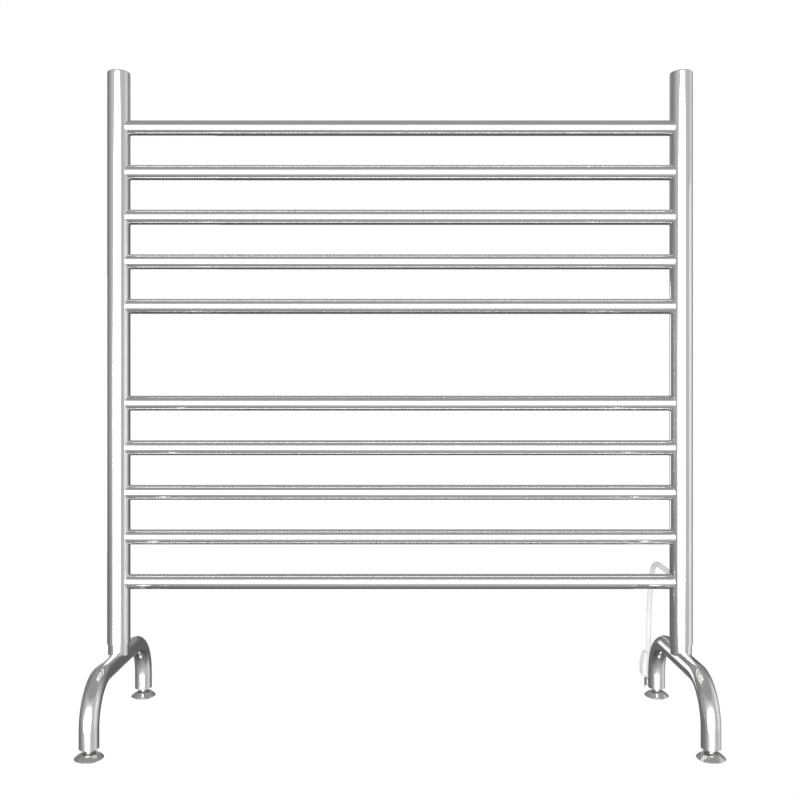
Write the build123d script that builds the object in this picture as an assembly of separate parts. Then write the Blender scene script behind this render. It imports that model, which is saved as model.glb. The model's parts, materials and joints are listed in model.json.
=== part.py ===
from build123d import *
import math
import os

# A free-standing electric towel warmer. Two upright posts carry two banks of cross bars, and
# each post slides over the spigot of an arched leg that stands on two levelling feet.
# Millimetres. X runs along the bars, +Y points to the back, +Z up, and the origin is on the
# floor in the middle of the four feet.

# Posts
post_d = 32.0
post_wall = 1.2
post_spacing = 801.0
post_foot_z = 117.5
cap_thickness = 3.0
cap_edge_r = 2.0
cap_plug_depth = 8.0

# Cross bars
bar_d = 21.3
bar_wall = 1.0
bars_per_bank = 5
bar_pitch = 63.5
bank_gap = 137.7
top_bar_drop = 79.0
terminal_room = 47.8

# Legs
leg_d = 25.4
leg_wall = 1.5
leg_axis_z = 96.1
leg_bend_r = 57.0
foot_spacing = 252.0
leg_end_z = 15.6
spigot_wall = 3.0
spigot_depth = 40.0
spigot_skirt_rise = 6.0

# Screws that hold the posts on the legs
leg_screw_d = 5.0
leg_screw_head_d = 9.5
leg_screw_head_h = 2.75
leg_screw_socket_af = 3.0
leg_screw_socket_depth = 1.6
leg_screw_tail = 1.0

# Levelling feet
stud_d = 8.0
stud_length = 25.0
insert_length = 24.0
dome_d = 37.0
dome_rim_h = 0.4
dome_arc_r = 30.0
dome_land_d = 15.0
neck_d = 10.5
neck_h = 4.3
sole_d = 27.0
sole_t = 2.8
sole_boss_d = 12.0
sole_boss_h = 3.0
sole_chamfer = 0.5

# Mains cord, its gland in the back of the right post, and the plug
cord_d = 8.0
cord_outlet_rise = 2.2
cord_inner_end = 8.0
gland_barrel_d = 10.4
gland_lip_d = 12.0
gland_lip_w = 1.4
gland_flange_d = 15.0
gland_flange_h = 3.0
gland_root_d = 13.0
gland_tip_d = 10.4
gland_length = 36.0
gland_groove_count = 5
gland_groove_w = 1.8
gland_groove_pitch = 5.0
gland_groove_depth = 0.7
core_circle_r = 1.45
plug_height = 37.9
plug_shoulder_h = 16.3
plug_shoulder_draw = 4.0
plug_width = 24.6
plug_depth = 28.6
plug_corner_r = 6.4
plug_top_edge_r = 1.0
plug_shoulder_r = 9.0
plug_nose_r = 3.0
blade_thickness = 1.5
blade_width = 6.35
blade_length = 16.6
blade_spacing = 12.7
blade_offset = 4.0
ground_pin_d = 4.8
ground_pin_length = 18.0
ground_pin_offset = 7.9

# The cord's route from the gland, as (back from the post axis, up from the outlet)
cord_route = [
    (86.0, 0.0),
    (128.5, 2.0),
    (148.0, -9.8),
    (157.6, -32.0),
    (167.2, -65.0),
    (172.5, -106.0),
    (172.5, -148.9),
]

# Round rocker switch in the back of the right post
switch_bezel_d = 17.6
switch_bezel_h = 2.4
switch_bezel_edge_r = 0.8
switch_barrel_d = 14.6
switch_back_y = 3.0
switch_cavity_d = 11.6
switch_cavity_depth = 6.5
rocker_d = 10.4
rocker_pivot_drop = 2.2
rocker_above_pivot = 3.4
rocker_below_pivot = 2.6
rocker_dish_r = 22.0
rocker_dish_depth = 0.4
rocker_edge_r = 0.5
rocker_tilt = 7.0
trunnion_d = 2.0
trunnion_end_gap = 0.2
trunnion_seat = 1.0
terminal_width = 4.8
terminal_thickness = 0.8
terminal_length = 6.0
terminal_spacing = 7.0

# Heating cable and the wiring inside the right post
heater_d = 4.0
heater_turn_r = 9.0
heater_turn_inset = 3.0
heater_return_x = 8.0
heater_return_y = -6.0
heater_return_lead_in = 8.0
heater_return_ease_r = 18.0
heater_return_turn_r = 8.0
lead_d = 2.4
lead_turn_r = 3.0
lead_short_turn_r = 1.8
splice_d = 8.6
splice_length = 16.0
splice_grip = 12.0
splice_above_spigot = 4.0
splice_wire_pitch = 3.5
cutout_d = 5.2
cutout_length = 12.0
cutout_above_outlet = 7.0
switched_lead_x = -7.0
switched_lead_y = -8.0
switched_lead_rise = 8.0
switched_lead_start_y = -1.0
earth_screw_d = 4.0
earth_screw_head_d = 7.0
earth_screw_head_h = 2.4
earth_screw_drop = 21.5
earth_screw_length = 7.5
earth_ring_d = 8.0
earth_ring_t = 0.8
earth_nut_af = 7.0
earth_nut_h = 3.2
earth_barrel_d = 3.8
earth_barrel_rise = 4.3
earth_barrel_length = 6.7

# Clearances
weld_gap = 0.05
fit_gap = 0.1
thread_gap = 0.05
lie_gap = 0.3
screw_hole_gap = 0.25

# Worked-out places
post_r = post_d / 2
post_bore_r = post_r - post_wall
post_x = post_spacing / 2
bar_r = bar_d / 2
bar_bore_r = bar_r - bar_wall
leg_r = leg_d / 2
leg_bore_r = leg_r - leg_wall
foot_y = foot_spacing / 2
spigot_r = post_bore_r - fit_gap
spigot_bore_r = spigot_r - spigot_wall
spigot_top_z = post_foot_z + spigot_depth
leg_screw_z = post_foot_z + spigot_depth / 2
stud_r = stud_d / 2
bank_height = (bars_per_bank - 1) * bar_pitch
bottom_bar_z = spigot_top_z + terminal_room
bank_tops = [bottom_bar_z + 2 * bank_height + bank_gap, bottom_bar_z + bank_height]
bar_levels = [top - i * bar_pitch for top in bank_tops for i in range(bars_per_bank)]
post_top_z = bar_levels[0] + top_bar_drop
outlet_z = bottom_bar_z + cord_outlet_rise
gland_tip_y = post_r + gland_flange_h + gland_length
switch_z = bottom_bar_z + bar_pitch / 2
switch_face_y = post_r + switch_bezel_h
rocker_pivot_y = switch_face_y - rocker_pivot_drop
earth_z = outlet_z - earth_screw_drop
splice_top_z = spigot_top_z + splice_above_spigot + splice_length
splice_wire_z = splice_top_z - splice_grip
plug_y, plug_drop = cord_route[-1]
plug_top_z = outlet_z + plug_drop
plug_face_z = plug_top_z - plug_height
corners = {
    "front_left": (-post_x, -foot_y),
    "front_right": (post_x, -foot_y),
    "rear_left": (-post_x, foot_y),
    "rear_right": (post_x, foot_y),
}
sides = {"left": -1, "right": 1}
from_base = (Align.CENTER, Align.CENTER, Align.MIN)


# Basic solids

def upright(radius, z_low, z_high, x=0.0, y=0.0):
    return Pos(x, y, z_low) * Cylinder(radius, z_high - z_low, align=from_base)


def along_x(radius, x_low, x_high, y, z):
    return Pos(x_low, y, z) * Rot(0, 90, 0) * Cylinder(radius, x_high - x_low, align=from_base)


def along_y(radius, y_low, y_high, x, z):
    return Pos(x, y_low, z) * Rot(-90, 0, 0) * Cylinder(radius, y_high - y_low, align=from_base)


def turned(profile_edges):
    # A solid of revolution about Z from edges in the XZ plane
    return revolve(Plane.XZ * make_face(profile_edges), axis=Axis.Z)


def round_run(points, diameter, radii):
    # A round wire or tube core along straight runs joined by tangent arcs
    path = FilletPolyline(*points, radius=radii)
    section = Plane(origin=path @ 0, z_dir=path % 0) * Circle(diameter / 2)
    solid = sweep(section, path=path)
    expected = path.length * math.pi * diameter**2 / 4
    print(f"run of {path.length:.1f} mm, volume off by {solid.volume / expected - 1:+.2%}")
    return solid


def in_right_post(dx, dy, z):
    return (post_x + dx, dy, z)


# Posts, caps and cross bars

def post(side):
    x = side * post_x
    tube_top = post_top_z - cap_thickness
    body = upright(post_r, post_foot_z, tube_top, x) - upright(post_bore_r, post_foot_z, tube_top, x)
    for z in bar_levels:
        inner_x = x - side * post_d
        body -= along_x(bar_bore_r, min(x, inner_x), max(x, inner_x), 0, z)
    body -= along_y(leg_screw_d / 2 + screw_hole_gap, 0, post_d, x, leg_screw_z)
    if side > 0:
        body -= along_y(gland_barrel_d / 2 + fit_gap, 0, post_d, x, outlet_z)
        body -= along_y(switch_barrel_d / 2 + fit_gap, 0, post_d, x, switch_z)
        body -= along_y(earth_screw_d / 2 + fit_gap, 0, post_d, x, earth_z)
    return body


def post_cap(side):
    x = side * post_x
    seat_z = post_top_z - cap_thickness
    disc = upright(post_r, seat_z, post_top_z, x)
    edge_r = min(cap_edge_r, 0.9 * cap_thickness)
    disc = fillet(disc.edges().sort_by(Axis.Z)[-1], edge_r)
    return disc + upright(post_bore_r - fit_gap, seat_z - cap_plug_depth, seat_z, x)


def cross_bar(z):
    tube = along_x(bar_r, -post_x, post_x, 0, z) - along_x(bar_bore_r, -post_x, post_x, 0, z)
    for side in sides.values():
        tube -= upright(post_r + weld_gap, z - bar_d, z + bar_d, side * post_x)
    return tube


# Legs

def leg_bow(side, radius):
    x = side * post_x
    points = [
        (x, -foot_y, leg_end_z),
        (x, -foot_y, leg_axis_z),
        (x, foot_y, leg_axis_z),
        (x, foot_y, leg_end_z),
    ]
    path = FilletPolyline(*points, radius=leg_bend_r)
    return sweep(Plane(origin=path @ 0, z_dir=path % 0) * Circle(radius), path=path)


def leg(side):
    return leg_bow(side, leg_r) - leg_bow(side, leg_bore_r)


def leg_spigot(side):
    # A stub tube coped over the bow, with a skirt on each flank, that the post slides over
    x = side * post_x
    skirt_z = leg_axis_z + spigot_skirt_rise
    body = upright(spigot_r, skirt_z, spigot_top_z, x) - upright(spigot_bore_r, skirt_z, spigot_top_z, x)
    body -= along_y(leg_r + weld_gap, -post_d, post_d, x, leg_axis_z)
    body -= along_y(leg_screw_d / 2 + thread_gap, 0, post_d, x, leg_screw_z)
    return body


def leg_screw(side):
    # Button-head socket screw, driven from the back of the post into the spigot
    x = side * post_x
    tail_y = spigot_bore_r - leg_screw_tail
    head = Cylinder(leg_screw_head_d / 2, leg_screw_head_h, align=from_base)
    head = fillet(head.edges().sort_by(Axis.Z)[-1], 0.75 * leg_screw_head_h)
    socket = extrude(RegularPolygon(leg_screw_socket_af / 2, 6, major_radius=False), leg_screw_socket_depth)
    head -= Pos(0, 0, leg_screw_head_h - leg_screw_socket_depth) * socket
    shank = along_y(leg_screw_d / 2, tail_y, post_r, x, leg_screw_z)
    return shank + Pos(x, post_r, leg_screw_z) * Rot(-90, 0, 0) * head


# Levelling feet

def tube_insert(x, y):
    top_z = leg_end_z + insert_length
    body = upright(leg_bore_r - fit_gap, leg_end_z, top_z, x, y)
    return body - upright(stud_r + thread_gap, leg_end_z, top_z, x, y)


def levelling_foot(x, y):
    # Domed foot and threaded stud in one piece, turning on the boss of its sole
    dome_r = dome_d / 2
    land_r = dome_land_d / 2
    neck_r = neck_d / 2
    recess_r = sole_boss_d / 2 + thread_gap
    recess_z = sole_t + sole_boss_h + lie_gap
    rim_z = sole_t + dome_rim_h
    neck_z = leg_end_z - neck_h
    stud_top = leg_end_z + stud_length
    outline = [
        Line((0, recess_z), (recess_r, recess_z)),
        Line((recess_r, recess_z), (recess_r, sole_t)),
        Line((recess_r, sole_t), (dome_r, sole_t)),
        Line((dome_r, sole_t), (dome_r, rim_z)),
        RadiusArc((dome_r, rim_z), (land_r, neck_z), -dome_arc_r),
        Line((land_r, neck_z), (neck_r, neck_z)),
        Line((neck_r, neck_z), (neck_r, leg_end_z)),
        Line((neck_r, leg_end_z), (stud_r, leg_end_z)),
        Line((stud_r, leg_end_z), (stud_r, stud_top)),
        Line((stud_r, stud_top), (0, stud_top)),
        Line((0, stud_top), (0, recess_z)),
    ]
    return Pos(x, y, 0) * turned(outline)


def foot_sole(x, y):
    disc = upright(sole_d / 2, 0, sole_t)
    disc = chamfer(disc.edges().sort_by(Axis.Z)[0], sole_chamfer)
    return Pos(x, y, 0) * (disc + upright(sole_boss_d / 2, sole_t, sole_t + sole_boss_h))


# Cord, gland and plug

def cord_gland():
    # Snap-in strain relief: saddle flange on the post, ribbed taper outside, barrel through the wall
    flange_y = post_r + gland_flange_h
    root_r = gland_root_d / 2
    tip_r = gland_tip_d / 2
    taper = Cone(root_r, tip_r, gland_length, align=from_base)
    for i in range(gland_groove_count):
        groove_z = (i + 1) * gland_groove_pitch
        here_r = root_r + (tip_r - root_r) * groove_z / gland_length
        ring = Cylinder(root_r + gland_flange_h, gland_groove_w)
        taper -= Pos(0, 0, groove_z) * (ring - Cylinder(here_r - gland_groove_depth, gland_groove_w))
    outside = along_y(gland_flange_d / 2, 0, flange_y, post_x, outlet_z)
    outside += Pos(post_x, flange_y, outlet_z) * Rot(-90, 0, 0) * taper
    outside -= upright(post_r + weld_gap, outlet_z - post_d, outlet_z + post_d, post_x)
    barrel = along_y(gland_barrel_d / 2, cord_inner_end, flange_y, post_x, outlet_z)
    lip_y = math.sqrt(post_bore_r**2 - (gland_lip_d / 2) ** 2) - lie_gap
    lip = along_y(gland_lip_d / 2, lip_y - gland_lip_w, lip_y, post_x, outlet_z)
    bore = along_y(cord_d / 2 + fit_gap, 0, gland_tip_y, post_x, outlet_z)
    return outside + barrel + lip - bore


def cord_points():
    inside = (post_x, cord_inner_end, outlet_z)
    return [inside] + [(post_x, back, outlet_z + up) for back, up in cord_route]


def cord_radii(points):
    # Each arc is as large as the shorter of its two runs allows
    vectors = [Vector(*p) for p in points]
    gland_end = Vector(post_x, gland_tip_y, outlet_z)
    runs = [b - a for a, b in zip([gland_end] + vectors[1:], vectors[1:])]
    radii = []
    for before, after in zip(runs, runs[1:]):
        half_turn = math.radians(before.get_angle(after)) / 2
        radii.append(0.45 * min(before.length, after.length) / math.tan(half_turn))
    print("cord radii", [round(r, 1) for r in radii])
    return radii


def power_cord():
    points = cord_points()
    return round_run(points, cord_d, cord_radii(points))


def plug_body():
    # Moulded plug: flat top round the cord, tapered shoulders, straight sides and a rounded nose
    shoulder_z = plug_top_z - plug_shoulder_h
    waist = Pos(post_x, plug_y, shoulder_z) * RectangleRounded(plug_width, plug_depth, plug_corner_r)
    draw_angle = math.degrees(math.atan2(plug_shoulder_draw, plug_shoulder_h))
    body = extrude(waist, plug_shoulder_h, taper=draw_angle) + extrude(waist, plug_face_z - shoulder_z)
    edge_radii = {plug_top_z: plug_top_edge_r, shoulder_z: plug_shoulder_r, plug_face_z: plug_nose_r}
    for z, edge_r in edge_radii.items():
        rim = body.edges().filter_by_position(Axis.Z, z - fit_gap, z + fit_gap)
        body = fillet(rim, edge_r)
    return body


def plug_blades():
    tip_z = plug_face_z - blade_length
    blades = []
    for side in sides.values():
        blade = Box(blade_thickness, blade_width, blade_length, align=from_base)
        tip_edges = blade.faces().sort_by(Axis.Z)[0].edges().filter_by(Axis.X)
        blade = chamfer(tip_edges, blade_thickness)
        blades.append(Pos(post_x + side * blade_spacing / 2, plug_y - blade_offset, tip_z) * blade)
    return Compound(children=blades)


def plug_ground_pin():
    pin = Cylinder(ground_pin_d / 2, ground_pin_length, align=from_base)
    pin = fillet(pin.edges().sort_by(Axis.Z)[0], 0.45 * ground_pin_d)
    return Pos(post_x, plug_y + ground_pin_offset, plug_face_z - ground_pin_length) * pin


# Rocker switch

def switch_housing():
    bezel = along_y(switch_bezel_d / 2, 0, switch_face_y, post_x, switch_z)
    bezel = fillet(bezel.edges().sort_by(Axis.Y)[-1], switch_bezel_edge_r)
    bezel -= upright(post_r + weld_gap, switch_z - post_d, switch_z + post_d, post_x)
    body = bezel + along_y(switch_barrel_d / 2, switch_back_y, post_r, post_x, switch_z)
    cavity_y = switch_face_y - switch_cavity_depth
    body -= along_y(switch_cavity_d / 2, cavity_y, switch_face_y, post_x, switch_z)
    reach = switch_cavity_d / 2 + trunnion_seat + trunnion_end_gap
    seat_r = trunnion_d / 2 + thread_gap
    return body - along_x(seat_r, post_x - reach, post_x + reach, rocker_pivot_y, switch_z)


def switch_rocker():
    # Dished round rocker, stored in its off position
    low = rocker_pivot_y - rocker_below_pivot
    high = rocker_pivot_y + rocker_above_pivot
    body = along_y(rocker_d / 2, low, high, post_x, switch_z)
    body = fillet(body.edges().sort_by(Axis.Y)[-1], rocker_edge_r)
    dish_y = high - rocker_dish_depth + rocker_dish_r
    body -= along_x(rocker_dish_r, post_x - rocker_d, post_x + rocker_d, dish_y, switch_z)
    reach = switch_cavity_d / 2 + trunnion_seat
    body += along_x(trunnion_d / 2, post_x - reach, post_x + reach, rocker_pivot_y, switch_z)
    pivot = Axis((post_x, rocker_pivot_y, switch_z), (1, 0, 0))
    return body.rotate(pivot, -rocker_tilt)


def switch_terminals():
    tabs = []
    for side in (-1, 1):
        tab = Box(terminal_width, terminal_length, terminal_thickness)
        z = switch_z + side * terminal_spacing / 2
        tabs.append(Pos(post_x, switch_back_y - terminal_length / 2, z) * tab)
    return Compound(children=tabs)


# Heating cable, splices and leads

def heater_cable():
    # One loop: along every bar in turn from the bottom, then back down the right post
    turn_x = post_x - heater_turn_inset
    drop = bar_bore_r - heater_d / 2 - lie_gap
    levels = [z - drop for z in reversed(bar_levels)]
    points = [(turn_x, 0, splice_wire_z)]
    side = 1
    for level in levels:
        points += [(side * turn_x, 0, level), (-side * turn_x, 0, level)]
        side = -side
    points[-1] = in_right_post(-heater_return_lead_in, 0, levels[-1])
    points.append(in_right_post(heater_return_x, heater_return_y, levels[-1]))
    points.append(in_right_post(heater_return_x, heater_return_y, splice_wire_z))
    radii = [heater_turn_r] * (len(points) - 4) + [heater_return_ease_r, heater_return_turn_r]
    return round_run(points, heater_d, radii)


def start_splice_wires():
    # Centres of the heating cable and of the lead in the splice at the cable's start
    cable = (-heater_turn_inset, 0.0)
    lead = (-heater_turn_inset, -splice_wire_pitch)
    return cable, lead


def return_splice_wires():
    # The same at the cable's return, where the lead lies towards the post's axis
    reach = math.hypot(heater_return_x, heater_return_y)
    inward = (reach - splice_wire_pitch) / reach
    cable = (heater_return_x, heater_return_y)
    lead = (heater_return_x * inward, heater_return_y * inward)
    return cable, lead


def splice_cap(cable, lead):
    # Closed-end crimp cap with a pocket for each of its two wires
    spare = (splice_wire_pitch + lead_d / 2 - heater_d / 2) / 2 / splice_wire_pitch
    centre = [c + spare * (l - c) for c, l in zip(cable, lead)]
    x, y = post_x + centre[0], centre[1]
    cap = upright(splice_d / 2, splice_top_z - splice_length, splice_top_z, x, y)
    pocket_z = splice_wire_z - lie_gap
    for (dx, dy), wire_d in ((cable, heater_d), (lead, lead_d)):
        cap -= upright(wire_d / 2 + fit_gap, pocket_z, splice_top_z, post_x + dx, dy)
    return cap


def splice_caps():
    return Compound(children=[splice_cap(*start_splice_wires()), splice_cap(*return_splice_wires())])


def core_start(angle):
    turn = math.radians(angle)
    dx = core_circle_r * math.cos(turn)
    return in_right_post(dx, cord_inner_end, outlet_z + core_circle_r * math.sin(turn))


def live_lead():
    # From the cord up to the lower switch terminal
    start = core_start(90)
    terminal_z = switch_z - terminal_spacing / 2 - terminal_thickness / 2
    points = [start, (start[0], 0, start[2]), (start[0], 0, terminal_z)]
    return round_run(points, lead_d, lead_turn_r)


def switched_lead():
    # From the upper switch terminal, down past the thermal cut-out, to the start splice
    dx, dy = start_splice_wires()[1]
    terminal_z = switch_z + terminal_spacing / 2 + terminal_thickness / 2
    over_z = terminal_z + switched_lead_rise
    points = [
        in_right_post(0, switched_lead_start_y, terminal_z),
        in_right_post(0, switched_lead_start_y, over_z),
        in_right_post(switched_lead_x, switched_lead_y, over_z),
        in_right_post(switched_lead_x, switched_lead_y, splice_top_z + splice_length),
        in_right_post(dx, dy, splice_top_z + splice_length / 2),
        in_right_post(dx, dy, splice_wire_z),
    ]
    return round_run(points, lead_d, lead_turn_r)


def neutral_lead():
    # From the cord down to the return splice
    start = core_start(-30)
    dx, dy = return_splice_wires()[1]
    points = [
        start,
        (start[0], cord_inner_end - 2 * lead_turn_r, start[2]),
        in_right_post(dx, dy, splice_top_z + splice_length),
        in_right_post(dx, dy, splice_wire_z),
    ]
    return round_run(points, lead_d, lead_short_turn_r)


def earth_barrel_y():
    return earth_ring_y() - earth_ring_t / 2


def earth_ring_y():
    # Outer face of the ring, close behind the curved wall
    return math.sqrt(post_bore_r**2 - (earth_ring_d / 2) ** 2) - lie_gap / 2


def earth_lead():
    # From the cord, under the gland's barrel, into the ring terminal's crimp
    start = core_start(210)
    barrel_y = earth_barrel_y() - earth_barrel_d / 2 + earth_ring_t / 2
    under_z = outlet_z - gland_lip_d / 2 - lead_d / 2 - lie_gap
    barrel_top = earth_z + earth_barrel_rise + earth_barrel_length
    points = [
        start,
        (start[0], cord_inner_end - 2 * lead_short_turn_r, start[2]),
        in_right_post(-core_circle_r / 2, cord_inner_end - lead_d / 2, under_z),
        in_right_post(0, barrel_y, under_z),
        in_right_post(0, barrel_y, barrel_top - earth_barrel_length / 2),
    ]
    return round_run(points, lead_d, lead_short_turn_r)


def earth_terminal():
    # Ring terminal behind the post wall, with the crimp barrel standing above it
    ring_y = earth_ring_y()
    barrel_y = earth_barrel_y() - earth_barrel_d / 2 + earth_ring_t / 2
    foot_z = earth_z + earth_barrel_rise
    ring = along_y(earth_ring_d / 2, ring_y - earth_ring_t, ring_y, post_x, earth_z)
    tongue = Box(earth_barrel_d, earth_ring_t, earth_barrel_rise, align=from_base)
    ring += Pos(post_x, ring_y - earth_ring_t / 2, earth_z) * tongue
    ring += upright(earth_barrel_d / 2, foot_z, foot_z + earth_barrel_length, post_x, barrel_y)
    ring -= along_y(earth_screw_d / 2 + fit_gap, 0, post_r, post_x, earth_z)
    return ring - upright(lead_d / 2 + fit_gap, foot_z, foot_z + earth_barrel_length, post_x, barrel_y)


def earth_screw():
    head = Cylinder(earth_screw_head_d / 2, earth_screw_head_h, align=from_base)
    head = fillet(head.edges().sort_by(Axis.Z)[-1], 0.6 * earth_screw_head_h)
    shank = along_y(earth_screw_d / 2, post_r - earth_screw_length, post_r, post_x, earth_z)
    return shank + Pos(post_x, post_r, earth_z) * Rot(-90, 0, 0) * head


def earth_nut():
    nut = extrude(RegularPolygon(earth_nut_af / 2, 6, major_radius=False), earth_nut_h)
    nut -= Cylinder(earth_screw_d / 2 + thread_gap, earth_nut_h, align=from_base)
    nut_y = earth_ring_y() - earth_ring_t - earth_nut_h
    return Pos(post_x, nut_y, earth_z) * Rot(-90, 0, 0) * nut


def thermal_cutout():
    low = outlet_z + cutout_above_outlet
    x, y = post_x + switched_lead_x, switched_lead_y
    body = upright(cutout_d / 2, low, low + cutout_length, x, y)
    return body - upright(lead_d / 2 + fit_gap, low, low + cutout_length, x, y)


# All nodes of the assembly

def build():
    nodes = {}
    for name, side in sides.items():
        nodes[f"post_{name}"] = post(side)
        nodes[f"post_cap_{name}"] = post_cap(side)
        nodes[f"leg_{name}"] = leg(side)
        nodes[f"leg_spigot_{name}"] = leg_spigot(side)
    for number, level in enumerate(bar_levels, start=1):
        nodes[f"bar_{number:02d}"] = cross_bar(level)
    for name, (x, y) in corners.items():
        nodes[f"tube_insert_{name}"] = tube_insert(x, y)
        nodes[f"levelling_foot_{name}"] = levelling_foot(x, y)
        nodes[f"foot_sole_{name}"] = foot_sole(x, y)
    nodes["leg_screws"] = Compound(children=[leg_screw(side) for side in sides.values()])
    nodes["cord_gland"] = cord_gland()
    nodes["power_cord"] = power_cord()
    nodes["plug_body"] = plug_body()
    nodes["plug_blades"] = plug_blades()
    nodes["plug_ground_pin"] = plug_ground_pin()
    nodes["switch_housing"] = switch_housing()
    nodes["switch_rocker"] = switch_rocker()
    nodes["switch_terminals"] = switch_terminals()
    nodes["heating_cable"] = heater_cable()
    nodes["splice_caps"] = splice_caps()
    nodes["live_lead"] = live_lead()
    nodes["switched_lead"] = switched_lead()
    nodes["neutral_lead"] = neutral_lead()
    nodes["earth_lead"] = earth_lead()
    nodes["earth_terminal"] = earth_terminal()
    nodes["earth_screw"] = earth_screw()
    nodes["earth_nut"] = earth_nut()
    nodes["thermal_cutout"] = thermal_cutout()
    return nodes


os.makedirs("parts", exist_ok=True)
for node_name, shape in build().items():
    export_step(shape, f"parts/{node_name}.step")
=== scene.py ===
import bpy
import bmesh
import json
import math
from mathutils import Matrix, Vector


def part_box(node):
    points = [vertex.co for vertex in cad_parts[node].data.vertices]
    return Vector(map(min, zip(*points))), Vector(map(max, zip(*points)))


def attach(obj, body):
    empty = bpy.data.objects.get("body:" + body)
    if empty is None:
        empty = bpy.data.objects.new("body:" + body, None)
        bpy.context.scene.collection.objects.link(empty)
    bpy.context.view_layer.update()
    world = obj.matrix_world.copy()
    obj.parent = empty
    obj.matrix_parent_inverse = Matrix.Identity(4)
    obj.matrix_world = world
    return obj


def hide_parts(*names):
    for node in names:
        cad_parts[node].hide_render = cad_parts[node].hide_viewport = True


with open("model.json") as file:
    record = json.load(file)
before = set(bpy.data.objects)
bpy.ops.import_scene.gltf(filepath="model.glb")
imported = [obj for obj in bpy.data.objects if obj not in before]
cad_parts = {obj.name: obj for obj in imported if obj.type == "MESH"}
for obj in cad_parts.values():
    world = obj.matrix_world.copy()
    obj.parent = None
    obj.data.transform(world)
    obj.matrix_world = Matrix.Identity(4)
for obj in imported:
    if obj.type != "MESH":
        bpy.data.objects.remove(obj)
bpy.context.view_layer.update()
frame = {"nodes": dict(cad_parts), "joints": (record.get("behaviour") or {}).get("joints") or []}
scene = bpy.context.scene
scene.view_settings.view_transform = "Standard"
print("frame loaded:", len(frame["nodes"]), "nodes")


# Places read from the frame

def middle(node):
    low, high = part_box(node)
    return (Vector(low) + Vector(high)) / 2


def top(node):
    return Vector(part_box(node)[1])


def bottom(node):
    return Vector(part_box(node)[0])


def radiusOf(node, axis):
    low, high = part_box(node)
    return (high[axis] - low[axis]) / 2


postX = middle("post_right").x
postRadius = radiusOf("post_right", 0)
barRadius = radiusOf("bar_01", 2)
barNames = [name for name in sorted(frame["nodes"]) if name.startswith("bar_")]
barLevels = [middle(name).z for name in barNames]
corners = ["front_left", "front_right", "rear_left", "rear_right"]


# The photograph's own viewpoint

cameraView = {"place": (0.0, -1.314, 0.4638), "lens": 41.51, "sensor": 36.0}


def placeCamera(view):
    data = bpy.data.cameras.new("camera")
    data.lens = view["lens"]
    data.sensor_width = view["sensor"]
    camera = bpy.data.objects.new("camera", data)
    camera.location = view["place"]
    camera.rotation_euler = (math.radians(90), 0, 0)  # level, straight at the bars
    scene.collection.objects.link(camera)
    scene.camera = camera


placeCamera(cameraView)
print("camera placed")


# Small tools for materials

def startMaterial(name, colour, metallic, roughness):
    material = bpy.data.materials.new(name)
    material.use_nodes = True
    shader = material.node_tree.nodes["Principled BSDF"]
    shader.inputs["Base Color"].default_value = (*colour, 1)
    shader.inputs["Metallic"].default_value = metallic
    shader.inputs["Roughness"].default_value = roughness
    return material, shader


def addNode(material, kind, values=None):
    node = material.node_tree.nodes.new(kind)
    for name, value in (values or {}).items():
        node.inputs[name].default_value = value
    return node


def join(material, output, socket):
    material.node_tree.links.new(output, socket)


def objectSpace(material, stretch=(1, 1, 1), shift=(0, 0, 0)):
    coordinates = addNode(material, "ShaderNodeTexCoord")
    mapping = addNode(material, "ShaderNodeMapping", {"Scale": stretch, "Location": shift})
    join(material, coordinates.outputs["Object"], mapping.inputs["Vector"])
    return mapping.outputs["Vector"]


def noise(material, vector, scale, detail=2.0, harshness=0.5):
    values = {"Scale": scale, "Detail": detail, "Roughness": harshness}
    node = addNode(material, "ShaderNodeTexNoise", values)
    join(material, vector, node.inputs["Vector"])
    return node.outputs["Fac"]


def span(material, factor, low, high, fromLow=0.3, fromHigh=0.7):
    values = {"From Min": fromLow, "From Max": fromHigh, "To Min": low, "To Max": high}
    node = addNode(material, "ShaderNodeMapRange", values)
    join(material, factor, node.inputs["Value"])
    return node.outputs["Result"]


def calculate(material, operation, first, second):
    node = addNode(material, "ShaderNodeMath")
    node.operation = operation
    for socket, value in zip(node.inputs, (first, second)):
        if isinstance(value, (int, float)):
            socket.default_value = value
        else:
            join(material, value, socket)
    return node.outputs["Value"]


def tint(material, factor, first, second):
    # Each end is a colour or the output of another node
    node = addNode(material, "ShaderNodeMix")
    node.data_type = "RGBA"
    join(material, factor, node.inputs["Factor"])
    for socket, end in zip([s for s in node.inputs if s.type == "RGBA"], (first, second)):
        if isinstance(end, tuple):
            socket.default_value = (*end, 1)
        else:
            join(material, end, socket)
    return [s for s in node.outputs if s.type == "RGBA"][0]


def relief(material, height, depth, before=None):
    node = addNode(material, "ShaderNodeBump", {"Strength": 1.0, "Distance": depth})
    join(material, height, node.inputs["Height"])
    if before:
        join(material, before, node.inputs["Normal"])
    return node.outputs["Normal"]


# Finishes

tubeSteel = {
    "dark": (0.775, 0.765, 0.75),
    "light": (0.885, 0.875, 0.86),
    "polish": (0.04, 0.07),  # roughness from the best to the dullest spots
    "streakAlong": 12.0,
    "streakAcross": 900.0,
    "streakDepth": 0.0000012,
    "streakDulling": (0.85, 1.15),
    "waveScale": 330.0,
    "waveDepth": 0.000024,
    "smearScale": 14.0,
    "grainScale": 420.0,
    "grainHarshness": 0.7,
    "grainShare": 0.72,  # of the tone, the rest being smears
}


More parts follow.
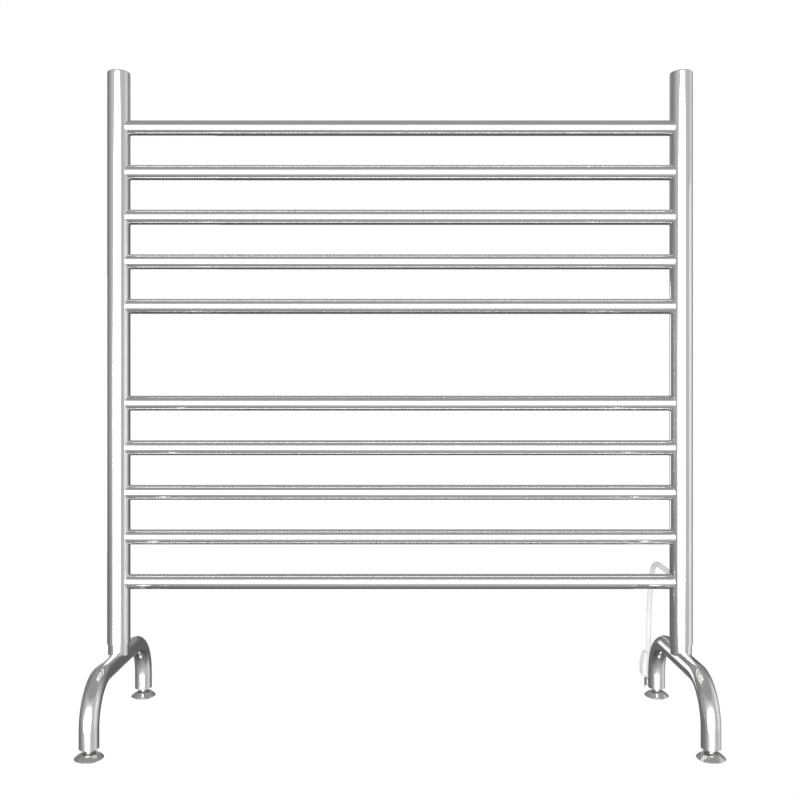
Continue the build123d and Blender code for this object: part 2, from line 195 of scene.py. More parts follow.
def polishedTube(name, look, axis):
    # Long polishing streaks follow the tube, over a slight waviness of its wall
    material, shader = startMaterial(name, look["light"], 1.0, look["polish"][0])
    stretch = [look["streakAcross"]] * 3
    stretch[axis] = look["streakAlong"]
    streaks = noise(material, objectSpace(material, stretch), 1.0, 3.0)
    waves = noise(material, objectSpace(material), look["waveScale"])
    smears = noise(material, objectSpace(material), look["smearScale"], 4.0)
    grain = noise(material, objectSpace(material), look["grainScale"], 3.0, look["grainHarshness"])
    smeared = span(material, smears, 0.0, 1.0 - look["grainShare"])
    grained = span(material, grain, 0.0, look["grainShare"])
    tone = calculate(material, "ADD", smeared, grained)
    colour = tint(material, tone, look["dark"], look["light"])
    dulling = span(material, streaks, *look["streakDulling"])
    polish = calculate(material, "MULTIPLY", dulling, span(material, smears, *look["polish"]))
    normal = relief(material, waves, look["waveDepth"])
    normal = relief(material, streaks, look["streakDepth"], normal)
    join(material, colour, shader.inputs["Base Color"])
    join(material, polish, shader.inputs["Roughness"])
    join(material, normal, shader.inputs["Normal"])
    return material


spunSteel = {
    "dark": (0.74, 0.73, 0.715),
    "light": (0.84, 0.83, 0.815),
    "polish": (0.15, 0.21),
    "ringScale": 0.05 / 0.0006,
    "ringWaver": 0.4,
    "ringDepth": 0.000004,
    "smearScale": 60.0,
}


def spunFoot(name, look):
    # Rings left by turning, round the axis of whichever foot the point lies on
    material, shader = startMaterial(name, look["light"], 1.0, look["polish"][0])
    fold = addNode(material, "ShaderNodeVectorMath")
    fold.operation = "ABSOLUTE"
    join(material, objectSpace(material), fold.inputs[0])
    centre = middle("levelling_foot_rear_right")
    centred = addNode(material, "ShaderNodeMapping", {"Location": (-centre.x, -centre.y, 0)})
    join(material, fold.outputs["Vector"], centred.inputs["Vector"])
    values = {"Scale": look["ringScale"], "Distortion": look["ringWaver"]}
    rings = addNode(material, "ShaderNodeTexWave", values)
    rings.wave_type = "RINGS"
    rings.rings_direction = "Z"
    join(material, centred.outputs["Vector"], rings.inputs["Vector"])
    smears = noise(material, objectSpace(material), look["smearScale"], 4.0)
    colour = tint(material, span(material, smears, 0.0, 1.0), look["dark"], look["light"])
    normal = relief(material, rings.outputs["Fac"], look["ringDepth"])
    join(material, colour, shader.inputs["Base Color"])
    join(material, span(material, smears, *look["polish"]), shader.inputs["Roughness"])
    join(material, normal, shader.inputs["Normal"])
    return material


smallMetal = {"markScale": 500.0, "markStretch": (1, 1, 6), "markDepth": 0.000006, "spotScale": 120.0}


def turnedMetal(name, dark, light, polish, look=smallMetal):
    # Plated or machined small parts
    material, shader = startMaterial(name, light, 1.0, polish[0])
    marks = noise(material, objectSpace(material, look["markStretch"]), look["markScale"], 4.0)
    spots = noise(material, objectSpace(material), look["spotScale"], 3.0)
    colour = tint(material, span(material, spots, 0.0, 1.0), dark, light)
    join(material, colour, shader.inputs["Base Color"])
    join(material, span(material, marks, *polish), shader.inputs["Roughness"])
    join(material, relief(material, marks, look["markDepth"]), shader.inputs["Normal"])
    return material


mouldSkin = {"grainScale": 2200.0, "cloudScale": 45.0}


def mouldedPlastic(name, dark, light, gloss, grainDepth, look=mouldSkin):
    # Spark-eroded grain of the mould over a faint unevenness of tone
    material, shader = startMaterial(name, light, 0.0, gloss[0])
    grain = noise(material, objectSpace(material), look["grainScale"], 3.0)
    clouds = noise(material, objectSpace(material), look["cloudScale"], 3.0)
    colour = tint(material, span(material, clouds, 0.0, 1.0), dark, light)
    join(material, colour, shader.inputs["Base Color"])
    join(material, span(material, grain, *gloss), shader.inputs["Roughness"])
    join(material, relief(material, grain, grainDepth), shader.inputs["Normal"])
    return material


legPolish = {**tubeSteel, "polish": (0.15, 0.19), "waveScale": 230.0, "waveDepth": 0.000012}
barPolish = {**tubeSteel, "waveScale": 300.0, "waveDepth": 0.00006, "polish": (0.02, 0.04)}
barSteel = polishedTube("polishedBarSteel", barPolish, 0)
postSteel = polishedTube("polishedPostSteel", tubeSteel, 2)
legSteel = polishedTube("polishedLegSteel", legPolish, 1)
footSteel = spunFoot("spunFootSteel", spunSteel)
insertSteel = turnedMetal("zincInsertSteel", (0.50, 0.50, 0.49), (0.62, 0.62, 0.61), (0.28, 0.42))
screwSteel = turnedMetal("brightScrewSteel", (0.66, 0.655, 0.645), (0.76, 0.755, 0.745),
                         (0.16, 0.28))
plugNickel = turnedMetal("nickelPlugPins", (0.66, 0.64, 0.59), (0.76, 0.74, 0.69), (0.16, 0.26))
brass = turnedMetal("tinnedBrass", (0.66, 0.50, 0.24), (0.78, 0.62, 0.34), (0.24, 0.38))
# The sole's grey is partly its own pale plastic and partly painted shade: it is darkened to stand in for the shade
# under the dome's rim and the contact shadow beneath the foot
soleGreyAndShade = mouldedPlastic("soleGreyWithPaintedShade", (0.52, 0.52, 0.51), (0.58, 0.58, 0.57),
                             (0.42, 0.55), 0.000015)
whiteCordSkin = mouldedPlastic("whiteCordSkin", (0.88, 0.88, 0.875), (0.92, 0.92, 0.915),
                               (0.34, 0.46), 0.000012)
whiteMoulding = mouldedPlastic("whiteMoulding", (0.88, 0.88, 0.875), (0.92, 0.92, 0.915),
                               (0.36, 0.50), 0.00002)
switchPlastic = mouldedPlastic("switchPlastic", (0.80, 0.80, 0.79), (0.85, 0.85, 0.845),
                               (0.24, 0.34), 0.00001)
markInk = mouldedPlastic("greyMarkInk", (0.10, 0.10, 0.105), (0.14, 0.14, 0.145),
                         (0.45, 0.6), 0.000004)
heaterJacket = mouldedPlastic("heaterJacket", (0.34, 0.05, 0.04), (0.46, 0.08, 0.06),
                              (0.45, 0.6), 0.00002)
spliceNylon = mouldedPlastic("spliceNylon", (0.66, 0.65, 0.60), (0.76, 0.75, 0.70),
                             (0.38, 0.5), 0.00001)
liveSkin = mouldedPlastic("liveLeadSkin", (0.05, 0.05, 0.05), (0.08, 0.08, 0.08),
                          (0.4, 0.55), 0.00001)
neutralSkin = mouldedPlastic("neutralLeadSkin", (0.70, 0.70, 0.69), (0.80, 0.80, 0.79),
                             (0.4, 0.55), 0.00001)
earthSkin = mouldedPlastic("earthLeadSkin", (0.06, 0.26, 0.07), (0.09, 0.36, 0.10),
                           (0.4, 0.55), 0.00001)
cutoutCase = mouldedPlastic("cutoutCase", (0.58, 0.56, 0.50), (0.70, 0.68, 0.62),
                            (0.35, 0.5), 0.00001)
print("finishes mixed")


# CAD pieces that keep their shape

dressing = {
    barSteel: barNames,
    postSteel: [f"{part}_{side}" for part in ("post", "post_cap", "leg_spigot") for side in ("left", "right")],
    legSteel: ["leg_left", "leg_right"],
    footSteel: [f"levelling_foot_{corner}" for corner in corners],
    insertSteel: [f"tube_insert_{corner}" for corner in corners],
    soleGreyAndShade: [f"foot_sole_{corner}" for corner in corners],
    screwSteel: ["leg_screws", "earth_screw", "earth_nut"],
    whiteCordSkin: ["power_cord"],
    whiteMoulding: ["cord_gland", "plug_body"],
    plugNickel: ["plug_blades", "plug_ground_pin"],
    switchPlastic: ["switch_housing", "switch_rocker"],
    brass: ["switch_terminals", "earth_terminal"],
    heaterJacket: ["heating_cable"],
    spliceNylon: ["splice_caps"],
    liveSkin: ["live_lead", "switched_lead"],
    neutralSkin: ["neutral_lead"],
    earthSkin: ["earth_lead"],
    cutoutCase: ["thermal_cutout"],
}
for finish, names in dressing.items():
    for name in names:
        for holder in frame["nodes"][name].material_slots:
            holder.material = finish
print("CAD pieces dressed")


# Mains cord from the gland to the plug

cordRun = {
    "diameter": 0.008,
    "tuck": 0.004,  # starts this far inside the gland
    "route": [  # back from the post's axis, up from the outlet
        (0.0860, 0.0),
        (0.1285, 0.0020),
        (0.1480, -0.0098),
        (0.1576, -0.0320),
        (0.1672, -0.0650),
        (0.1725, -0.1060),
        (0.1725, -0.1489),
    ],
    "length": 0.241,
    "roundSteps": 8,
    "runSteps": 20,
}


def makeCord(run):
    outletZ = middle("cord_gland").z
    exitPoint = Vector((postX, top("cord_gland").y, outletZ))
    points = [exitPoint - Vector((0, run["tuck"], 0))]
    points += [Vector((postX, back, outletZ + up)) for back, up in run["route"]]
    data = bpy.data.curves.new("mainsCord", "CURVE")
    data.dimensions = "3D"
    data.bevel_depth = run["diameter"] / 2
    data.bevel_resolution = run["roundSteps"]
    data.resolution_u = run["runSteps"]
    data.use_fill_caps = True
    line = data.splines.new("NURBS")
    line.points.add(len(points) - 1)
    for target, point in zip(line.points, points):
        target.co = (*point, 1)
    line.order_u = 3
    line.use_endpoint_u = True
    data.materials.append(whiteCordSkin)
    cord = bpy.data.objects.new("mainsCord", data)
    scene.collection.objects.link(cord)
    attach(cord, "rack")
    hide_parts("power_cord")


makeCord(cordRun)
print("cord laid")


# Tools for pieces

def addPiece(name, mesh, body, material):
    if not mesh.materials:
        mesh.materials.append(material)
    piece = bpy.data.objects.new(name, mesh)
    scene.collection.objects.link(piece)
    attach(piece, body)
    return piece


def startTree(name, inputs):
    # A node group that takes a mesh and named values, and gives a mesh back
    tree = bpy.data.node_groups.new(name, "GeometryNodeTree")
    tree.interface.new_socket(name="Geometry", in_out="INPUT", socket_type="NodeSocketGeometry")
    for label, kind in inputs.items():
        tree.interface.new_socket(name=label, in_out="INPUT", socket_type=kind)
    tree.interface.new_socket(name="Geometry", in_out="OUTPUT", socket_type="NodeSocketGeometry")
    return tree, tree.nodes.new("NodeGroupInput").outputs, tree.nodes.new("NodeGroupOutput").inputs


def place(tree, kind, links=None, values=None, **settings):
    node = tree.nodes.new(kind)
    for name, value in settings.items():
        setattr(node, name, value)
    for key, output in (links or {}).items():
        tree.links.new(output, node.inputs[key])
    for key, value in (values or {}).items():
        node.inputs[key].default_value = value
    return node


def runTree(mesh, tree, values):
    # Lays the tree over a mesh and returns the plain mesh that comes out
    holder = bpy.data.objects.new("treeHolder", mesh)
    scene.collection.objects.link(holder)
    modifier = holder.modifiers.new("tree", "NODES")
    modifier.node_group = tree
    for socket in tree.interface.items_tree:
        if socket.in_out == "INPUT" and socket.name in values:
            modifier[socket.identifier] = values[socket.name]
    depsgraph = bpy.context.evaluated_depsgraph_get()
    made = bpy.data.meshes.new_from_object(holder.evaluated_get(depsgraph))
    bpy.data.objects.remove(holder)
    return made


# Weld beads where each bar is coped onto a post

barWeld = {"bead": 0.0007, "ripples": 46, "rippleDepth": 0.10, "aroundSteps": 138, "beadSides": 10}


def weldTree():
    sizes = dict.fromkeys(("Post Radius", "Bar Radius", "Bead Radius", "Ripples", "Ripple Depth"), "NodeSocketFloat")
    sizes |= {"Steps": "NodeSocketInt", "Bead Sides": "NodeSocketInt", "Material": "NodeSocketMaterial"}
    tree, given, result = startTree("barWeld", sizes)

    def sums(operation, first, second=None):
        node = place(tree, "ShaderNodeMath", operation=operation)
        for socket, value in zip(node.inputs, (first, second)):
            if isinstance(value, (int, float)):
                socket.default_value = value
            elif value is not None:
                tree.links.new(value, socket)
        return node.outputs["Value"]

    def split():
        position = place(tree, "GeometryNodeInputPosition").outputs["Position"]
        return place(tree, "ShaderNodeSeparateXYZ", {"Vector": position}).outputs

    def circle(steps, radius):
        links = {"Resolution": given[steps], "Radius": given[radius]}
        return place(tree, "GeometryNodeCurvePrimitiveCircle", links).outputs["Curve"]

    # The bar's round laid onto the post
    here = split()
    squared = sums("SUBTRACT", sums("MULTIPLY", given["Post Radius"], given["Post Radius"]),
                   sums("MULTIPLY", here["X"], here["X"]))
    inward = sums("MULTIPLY", sums("SQRT", squared), -1.0)
    saddle = place(tree, "ShaderNodeCombineXYZ", {"X": inward, "Y": here["X"], "Z": here["Y"]})
    path = place(tree, "GeometryNodeSetPosition", {"Geometry": circle("Steps", "Bar Radius"),
                                                   "Position": saddle.outputs["Vector"]})
    # A bead that swells at each ripple
    along = place(tree, "GeometryNodeSplineParameter")
    phase = sums("MULTIPLY", sums("MULTIPLY", along.outputs["Factor"], given["Ripples"]), 2 * math.pi)
    swell = sums("ADD", sums("MULTIPLY", sums("SINE", phase), given["Ripple Depth"]), 1.0)
    path = place(tree, "GeometryNodeSetCurveRadius", {"Curve": path.outputs["Geometry"], "Radius": swell})
    bead = place(tree, "GeometryNodeCurveToMesh", {"Curve": path.outputs["Curve"],
                                                   "Profile Curve": circle("Bead Sides", "Bead Radius")})
    # One at each end of each bar, turned to face the other post
    halfTurn = sums("MULTIPLY", sums("LESS_THAN", split()["X"], 0.0), math.pi)
    facing = place(tree, "ShaderNodeCombineXYZ", {"Z": halfTurn})
    copies = place(tree, "GeometryNodeInstanceOnPoints", {"Points": given["Geometry"], "Instance": bead.outputs["Mesh"],
                                                          "Rotation": facing.outputs["Vector"]})
    real = place(tree, "GeometryNodeRealizeInstances", {"Geometry": copies.outputs["Instances"]})
    smooth = place(tree, "GeometryNodeSetShadeSmooth", {"Geometry": real.outputs["Geometry"]})
    coated = place(tree, "GeometryNodeSetMaterial", {"Geometry": smooth.outputs["Geometry"],
                                                     "Material": given["Material"]})
    tree.links.new(coated.outputs["Geometry"], result["Geometry"])
    return tree


def makeBarWelds(look):
    spots = bpy.data.meshes.new("weldSpots")
    spots.from_pydata([(x, 0, level) for x in (-postX, postX) for level in barLevels], [], [])
    values = {"Post Radius": postRadius, "Bar Radius": barRadius, "Bead Radius": look["bead"],
              "Ripples": float(look["ripples"]), "Ripple Depth": look["rippleDepth"],
              "Steps": look["aroundSteps"], "Bead Sides": look["beadSides"], "Material": barSteel}
    mesh = runTree(spots, weldTree(), values)
    addPiece("barWelds", mesh, "rack", barSteel)
    print("bar welds:", len(mesh.polygons), "faces")


makeBarWelds(barWeld)


# Levelling feet, each a turned dome with a threaded stud

footShape = {
    "soleTop": 0.0028,
    "soleRecess": (0.00605, 0.0061),  # radius and roof of the hollow for the sole's boss
    "rimHeight": 0.0004,
    "rimRound": 0.00015,
    "domeRadius": 0.0185,
    "domeArc": 0.030,
    "landRadius": 0.0075,  # flat ring about the neck
    "neckRadius": 0.00525,
    "neckHeight": 0.0043,
    "neckRound": 0.0003,
    "studCore": 0.00335,
    "studLength": 0.025,
    "threadRadius": 0.00398,
    "threadPitch": 0.00125,
    "threadEase": 0.0009,  # plain length at both ends of the stud
    "ridgeShare": 0.49,  # of the pitch, from the ridge's middle to its edge
    "ridgeSides": 4,
    "threadSteps": 32,
    "domeSteps": 28,
    "roundSteps": 96,
    "sharpFrom": 18.0,  # degrees between faces
    "mergeWithin": 0.000002,
}


def arcBetween(start, end, radius, count, bulge):
    # Points of the arc from start to end, bulging to the left of its chord or, with -1, to the right
    start, end = Vector(start), Vector(end)
    chord = end - start
    across = Vector((-chord.y, chord.x)).normalized() * bulge
    centre = (start + end) / 2 - across * math.sqrt(radius ** 2 - (chord.length / 2) ** 2)
    first, last = start - centre, end - centre
    sweep = first.angle_signed(last)
    return [tuple(centre + Matrix.Rotation(-sweep * i / count, 2) @ first) for i in range(count + 1)]


def footOutline(look, legEnd):
    hollowRadius, hollowRoof = look["soleRecess"]
    base, rim, soft = look["soleTop"], look["soleTop"] + look["rimHeight"], look["rimRound"]
    wide, slim, core = look["domeRadius"], look["neckRadius"], look["studCore"]
    neckFoot, studTop = legEnd - look["neckHeight"], legEnd + look["studLength"]
    neckSoft, land = look["neckRound"], (look["landRadius"], neckFoot)
    outline = [(0, hollowRoof), (hollowRadius, hollowRoof), (hollowRadius, base)]
    outline += [(wide - soft, base), (wide, base + soft)]
    outline += arcBetween((wide, rim), land, look["domeArc"], look["domeSteps"], -1)
    outline += [(slim + neckSoft, neckFoot), (slim, neckFoot + neckSoft)]
    outline += [(slim, legEnd - soft), (slim - soft, legEnd), (core, legEnd)]
    return outline + [(core, studTop - 2 * soft), (core - 2 * soft, studTop), (0, studTop)]


def turnOutline(name, outline, axis, look):
    shell = bmesh.new()
    line = [shell.verts.new((axis.x + r, axis.y, z)) for r, z in outline]
    edges = [shell.edges.new(pair) for pair in zip(line, line[1:])]
    bmesh.ops.spin(shell, geom=line + edges, cent=(axis.x, axis.y, 0), axis=(0, 0, 1),
                   angle=2 * math.pi, steps=look["roundSteps"])
    bmesh.ops.remove_doubles(shell, verts=shell.verts, dist=look["mergeWithin"])
    bmesh.ops.recalc_face_normals(shell, faces=shell.faces)
    for face in shell.faces:
        face.smooth = True
    for edge in shell.edges:
        edge.smooth = edge.calc_face_angle(0) < math.radians(look["sharpFrom"])
    mesh = bpy.data.meshes.new(name)
    shell.to_mesh(mesh)
    shell.free()
    return mesh


def threadTree():
    sizes = dict.fromkeys(("Path Radius", "Ridge", "Turns", "Height"), "NodeSocketFloat")
    sizes |= {"Ridge Sides": "NodeSocketInt", "Steps": "NodeSocketInt",
              "Place": "NodeSocketVector", "Material": "NodeSocketMaterial"}
    tree, given, result = startTree("studThread", sizes)
    spiral = place(tree, "GeometryNodeCurveSpiral", {
        "Resolution": given["Steps"], "Rotations": given["Turns"], "Height": given["Height"],
        "Start Radius": given["Path Radius"], "End Radius": given["Path Radius"]})
    upright = place(tree, "GeometryNodeSetCurveNormal", {"Curve": spiral.outputs["Curve"]}, mode="Z_UP")
    ridge = place(tree, "GeometryNodeCurvePrimitiveCircle", {
        "Resolution": given["Ridge Sides"], "Radius": given["Ridge"]})
    thread = place(tree, "GeometryNodeCurveToMesh", {"Curve": upright.outputs["Curve"],
                                                     "Profile Curve": ridge.outputs["Curve"]}, {"Fill Caps": True})
    lifted = place(tree, "GeometryNodeTransform", {"Geometry": thread.outputs["Mesh"], "Translation": given["Place"]})
    flat = place(tree, "GeometryNodeSetShadeSmooth", {"Geometry": lifted.outputs["Geometry"]}, {"Shade Smooth": False})
    whole = place(tree, "GeometryNodeJoinGeometry", {"Geometry": flat.outputs["Geometry"]})
    tree.links.new(given["Geometry"], whole.inputs["Geometry"])
    real = place(tree, "GeometryNodeRealizeInstances", {"Geometry": whole.outputs["Geometry"]})
    coated = place(tree, "GeometryNodeSetMaterial", {"Geometry": real.outputs["Geometry"],
                                                     "Material": given["Material"]})
    tree.links.new(coated.outputs["Geometry"], result["Geometry"])
    return tree


def makeFeet(look):
    legEnd = bottom("leg_left").z
    tree = threadTree()
    ridge = look["threadPitch"] * look["ridgeShare"]
    height = look["studLength"] - 2 * look["threadEase"]
    sizes = {"Path Radius": look["threadRadius"] - ridge, "Ridge": ridge, "Turns": height / look["threadPitch"],
             "Height": height, "Ridge Sides": look["ridgeSides"], "Steps": look["threadSteps"], "Material": footSteel}
    for corner in corners:
        axis = middle(f"levelling_foot_{corner}")
        solid = turnOutline(f"footTurning_{corner}", footOutline(look, legEnd), axis, look)
        mesh = runTree(solid, tree, {**sizes, "Place": (axis.x, axis.y, legEnd + look["threadEase"])})
        piece = addPiece(f"levellingFoot_{corner}", mesh, f"foot_{corner}", footSteel)
        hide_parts(f"levelling_foot_{corner}")
    print("levelling feet:", len(mesh.polygons), "faces each")


makeFeet(footShape)


# On and off marks on the rocker

rockerMarks = {
    "dish": 0.022,  # radius of the rocker's hollow face
    "faceAbovePivot": 0.0030,
    "tilt": 7.0,
    "proud": 0.00008,
    "line": 0.00045,
    "barLength": 0.0020,
    "ringRadius": 0.00095,
    "fromMiddle": 0.0026,
    "roundSteps": 40,
    "barCore": (0.02, 0.6),  # the bar sign's inner line, as shares of its outline
}


def makeMarks(look):
    pivot = Vector(next(j["pos_m"] for j in frame["joints"] if j["name"] == "switch_rock"))
    marks = bmesh.new()

    def face(points):
        # A flat sign drawn in x and z, raised and laid into the hollow face
        def at(x, z, lift):
            y = look["faceAbovePivot"] + look["dish"] - math.sqrt(look["dish"] ** 2 - z ** 2) + lift
            return marks.verts.new((x, y, z))
        return [at(x, z, look["proud"]) for x, z in points], [at(x, z, -look["proud"]) for x, z in points]

    def ribbon(inner, outer):
        lids = [face(inner), face(outer)]
        count = len(inner)
        for i in range(count):
            j = (i + 1) % count
            (innerTop, innerLow), (outerTop, outerLow) = lids
            marks.faces.new((innerTop[i], innerTop[j], outerTop[j], outerTop[i]))
            marks.faces.new((outerTop[i], outerTop[j], outerLow[j], outerLow[i]))
            marks.faces.new((innerTop[j], innerTop[i], innerLow[i], innerLow[j]))
            marks.faces.new((innerLow[i], outerLow[i], outerLow[j], innerLow[j]))

    half, reach = look["line"] / 2, look["barLength"] / 2
    apart, ringRadius = look["fromMiddle"], look["ringRadius"]
    turns = [2 * math.pi * i / look["roundSteps"] for i in range(look["roundSteps"])]
    ring = [(ringRadius * math.cos(a), -apart + ringRadius * math.sin(a)) for a in turns]
    bar = [(half * math.cos(a), apart + math.copysign(reach - half, math.sin(a)) + half * math.sin(a)) for a in turns]
    hole, (coreWide, coreLong) = 1 - look["line"] / ringRadius, look["barCore"]
    ribbon([(x * hole, -apart + (z + apart) * hole) for x, z in ring], ring)
    ribbon([(x * coreWide, apart + (z - apart) * coreLong) for x, z in bar], bar)
    bmesh.ops.recalc_face_normals(marks, faces=marks.faces)
    tilt = Matrix.Translation(pivot) @ Matrix.Rotation(math.radians(-look["tilt"]), 4, "X")
    bmesh.ops.transform(marks, matrix=tilt, verts=marks.verts)
    mesh = bpy.data.meshes.new("rockerMarks")
    marks.to_mesh(mesh)
    marks.free()
    addPiece("rockerMarks", mesh, "rocker", markInk)
    print("rocker marks:", len(mesh.polygons), "faces")


makeMarks(rockerMarks)


# Studio

studio = {
    "worldLight": 0.5,  # what matt surfaces get from all round
    "worldWhite": 1.0,  # what the camera sees of it
    "floorSize": 60.0,
    "floorColour": (0.88, 0.88, 0.88),
    "floorRoughness": 0.8,
    "floorGlow": 1.02,  # what the camera sees of the floor
    "keys": {  # place and power
        "frontKey": ((-0.6, -3.5, 1.1), 118.0),
        "rearKey": ((0.6, 3.5, 1.1), 80.0),
    },
    "keySize": 2.0,
    "keyAim": (0.0, 0.0, 0.3),
}


def paintWorld(look):
    # White to the camera and in polished metal, and softer as light on matt surfaces
    world = bpy.data.worlds.new("whiteStudio")
    scene.world = world
    world.use_nodes = True
    nodes, links = world.node_tree.nodes, world.node_tree.links
    nodes.clear()
    rays = nodes.new("ShaderNodeLightPath").outputs
    seen = rays["Is Camera Ray"]
    for kind in ("Is Glossy Ray", "Is Transmission Ray"):
        either = nodes.new("ShaderNodeMath")
        either.operation = "MAXIMUM"
        links.new(seen, either.inputs[0])
        links.new(rays[kind], either.inputs[1])
        seen = either.outputs[0]
    pick, out = nodes.new("ShaderNodeMixShader"), nodes.new("ShaderNodeOutputWorld")
    links.new(seen, pick.inputs[0])
    for socket, strength in zip(pick.inputs[1:], (look["worldLight"], look["worldWhite"])):
        light = nodes.new("ShaderNodeBackground")
        light.inputs["Color"].default_value = (1, 1, 1, 1)
        light.inputs["Strength"].default_value = strength
        links.new(light.outputs[0], socket)
    links.new(pick.outputs[0], out.inputs["Surface"])


def addStage(name, mesh, material):
    mesh.materials.append(material)
    stage = bpy.data.objects.new(name, mesh)
    scene.collection.objects.link(stage)
    return stage


def flatMesh(name, outline):
    mesh = bpy.data.meshes.new(name)
    mesh.from_pydata(outline, [], [range(len(outline))])
    return mesh


def glossOnly(stage):
    # Shows in polished metal and nowhere else
    for kind in ("camera", "diffuse", "transmission", "volume_scatter", "shadow"):
        setattr(stage, "visible_" + kind, False)


def layFloor(look):
    material, shader = startMaterial("paleFloor", look["floorColour"], 0.0, look["floorRoughness"])
    shader.inputs["Specular IOR Level"].default_value = 0.0
    rays = addNode(material, "ShaderNodeLightPath")
    glow = addNode(material, "ShaderNodeEmission", {"Strength": look["floorGlow"]})
    pick = addNode(material, "ShaderNodeMixShader")
    join(material, rays.outputs["Is Camera Ray"], pick.inputs[0])
    join(material, shader.outputs["BSDF"], pick.inputs[1])
    join(material, glow.outputs["Emission"], pick.inputs[2])
    output = material.node_tree.nodes["Material Output"]
    join(material, pick.outputs["Shader"], output.inputs["Surface"])
    half = look["floorSize"] / 2
    outline = [(-half, -half, 0), (half, -half, 0), (half, half, 0), (-half, half, 0)]
    floor = addStage("floor", flatMesh("floor", outline), material)
    floor.visible_glossy = False


frontSoftbox = {
    "strength": 5.0,
    "y": -4.0,
    "outline": [  # x and z
        (-4.0, -1.25), (1.6, -1.25), (2.35, 0.7), (2.35, 1.9),
        (1.6, 2.34), (-2.14, 2.34), (-2.9, 2.0), (-4.0, 0.8),
    ],
}
cards = {
    "rightCard": {
        "strength": 0.93,
        "outline": [
            (3.6, -1.45, -0.9), (3.6, -0.1, -0.9), (3.6, -0.1, -0.4),
            (3.6, 0.75, 0.2), (3.6, 0.75, 1.5), (3.6, -1.45, 1.5),
        ],
    },
    "rearLeftCard": {
        "strength": 1.25,
        "outline": [(-3.1, 3.95, -0.5), (-1.2, 4.85, -0.5), (-1.2, 4.85, 1.25), (-3.1, 3.95, 1.25)],
    },
}


def glowing(name, strength):
    material = bpy.data.materials.new(name)
    material.use_nodes = True
    nodes = material.node_tree.nodes
    nodes.clear()
    glow = nodes.new("ShaderNodeEmission")
    glow.inputs["Strength"].default_value = strength
    join(material, glow.outputs["Emission"], nodes.new("ShaderNodeOutputMaterial").inputs["Surface"])
    material.cycles.emission_sampling = "NONE"
    return material


def hangLight(name, strength, outline):
    glossOnly(addStage(name, flatMesh(name, outline), glowing(name, strength)))


def hangLights(softbox, cards):
    outline = [(x, softbox["y"], z) for x, z in softbox["outline"]]
    hangLight("frontSoftbox", softbox["strength"], outline)
    for name, card in cards.items():
        hangLight(name, card["strength"], card["outline"])


drapes = {
    "radius": 9.0,
    "height": 0.5,
    "segments": (64, 32),
    "round": [  # degrees from the front, + to the right, and how bright the drape is there
        (-180, 0.135), (-154, 0.20), (-100, 0.27), (-87, 0.32), (-72, 0.46), (-60, 0.53), (-47, 0.62), (0, 0.75),
        (45, 0.58), (60, 0.53), (77, 0.63), (94, 0.78), (112, 0.60), (124, 0.30), (145, 0.13), (180, 0.135),
    ],
    "under": [  # front is 0 degrees, straight down -90
        (-180, 0.08), (-131, 0.09), (-115, 0.13), (-91, 0.19), (-70, 0.35), (-51, 0.46),
    ],
    "above": 0.36,
    "aboveFrom": (36, 46),  # degrees up over which a tone fades in
    "aboveBehindFrom": (11, 21),
    "behindFrom": (0.5, 0.8),
    "belowFrom": (-34, -48),
    "lowLeftFrom": (-2, -13),
    "leftFrom": (-0.05, -0.35),
    "lowLeftDim": 0.25,  # how much darker the left hangs below eye level
}


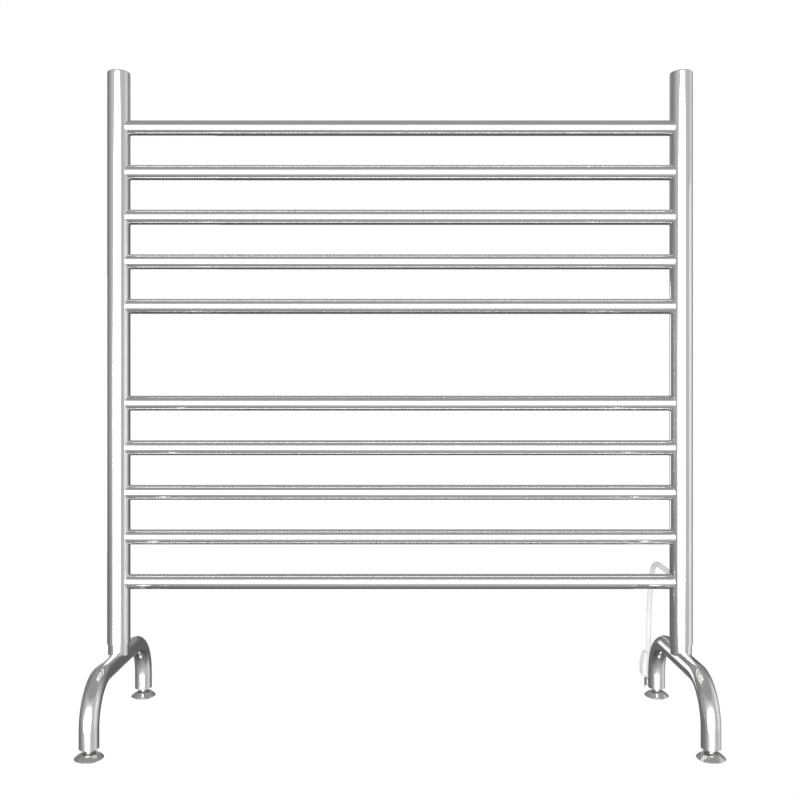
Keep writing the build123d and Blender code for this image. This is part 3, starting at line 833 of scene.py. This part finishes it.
def drapeCloth(look):
    # Grey, with its own tone in each direction
    material = bpy.data.materials.new("studioDrapes")
    material.use_nodes = True
    nodes = material.node_tree.nodes
    nodes.clear()
    aim = addNode(material, "ShaderNodeVectorMath")
    aim.operation = "NORMALIZE"
    join(material, objectSpace(material, shift=(0, 0, -look["height"])), aim.inputs[0])
    parts = addNode(material, "ShaderNodeSeparateXYZ")
    join(material, aim.outputs["Vector"], parts.inputs["Vector"])
    toRight, toBack, up = (parts.outputs[axis] for axis in "XYZ")
    toFront = calculate(material, "MULTIPLY", toBack, -1.0)
    turn = calculate(material, "ARCTAN2", toRight, toFront)
    roll = calculate(material, "ARCTAN2", up, toFront)
    rise = calculate(material, "ARCSINE", up, 0.0)

    def toneRamp(angle, stops):
        low, high = stops[0][0], stops[-1][0]
        ramp = addNode(material, "ShaderNodeValToRGB")
        join(material, span(material, angle, 0.0, 1.0, math.radians(low), math.radians(high)), ramp.inputs["Fac"])
        marks = ramp.color_ramp.elements
        for _ in stops[2:]:
            marks.new(0.5)
        for mark, (degrees, tone) in zip(marks, stops):
            mark.position = (degrees - low) / (high - low)
            mark.color = (tone, tone, tone, 1)
        return ramp.outputs["Color"]

    def fadeIn(limits, full=1.0):
        return span(material, rise, 0.0, full, *(math.radians(a) for a in limits))

    behind = span(material, toBack, 0.0, 1.0, *look["behindFrom"])
    upBehind = calculate(material, "MULTIPLY", behind, fadeIn(look["aboveBehindFrom"]))
    goesUp = calculate(material, "MAXIMUM", fadeIn(look["aboveFrom"]), upBehind)
    tone = tint(material, fadeIn(look["belowFrom"]), toneRamp(turn, look["round"]), toneRamp(roll, look["under"]))
    tone = tint(material, goesUp, tone, (look["above"],) * 3)
    left = span(material, toRight, 0.0, 1.0, *look["leftFrom"])
    dim = calculate(material, "MULTIPLY", fadeIn(look["lowLeftFrom"], look["lowLeftDim"]), left)
    glow = addNode(material, "ShaderNodeEmission")
    join(material, tone, glow.inputs["Color"])
    join(material, calculate(material, "SUBTRACT", 1.0, dim), glow.inputs["Strength"])
    join(material, glow.outputs["Emission"], nodes.new("ShaderNodeOutputMaterial").inputs["Surface"])
    material.cycles.emission_sampling = "NONE"
    return material


def hangDrapes(look):
    shell = bmesh.new()
    around, upward = look["segments"]
    bmesh.ops.create_uvsphere(shell, u_segments=around, v_segments=upward, radius=look["radius"])
    bmesh.ops.translate(shell, verts=shell.verts, vec=(0, 0, look["height"]))
    mesh = bpy.data.meshes.new("studioDrapes")
    shell.to_mesh(mesh)
    shell.free()
    glossOnly(addStage("studioDrapes", mesh, drapeCloth(look)))


def hangKeys(look):
    # Matt surfaces get these, and polished metal doesn't show them
    for name, (spot, power) in look["keys"].items():
        data = bpy.data.lights.new(name, "AREA")
        data.energy = power
        data.size = look["keySize"]
        key = bpy.data.objects.new(name, data)
        key.location = spot
        aim = Vector(look["keyAim"]) - key.location
        key.rotation_euler = aim.to_track_quat("-Z", "Y").to_euler()
        key.visible_glossy = False
        key.visible_camera = False
        scene.collection.objects.link(key)


paintWorld(studio)
layFloor(studio)
hangLights(frontSoftbox, cards)
hangDrapes(drapes)
hangKeys(studio)
print("studio lit")
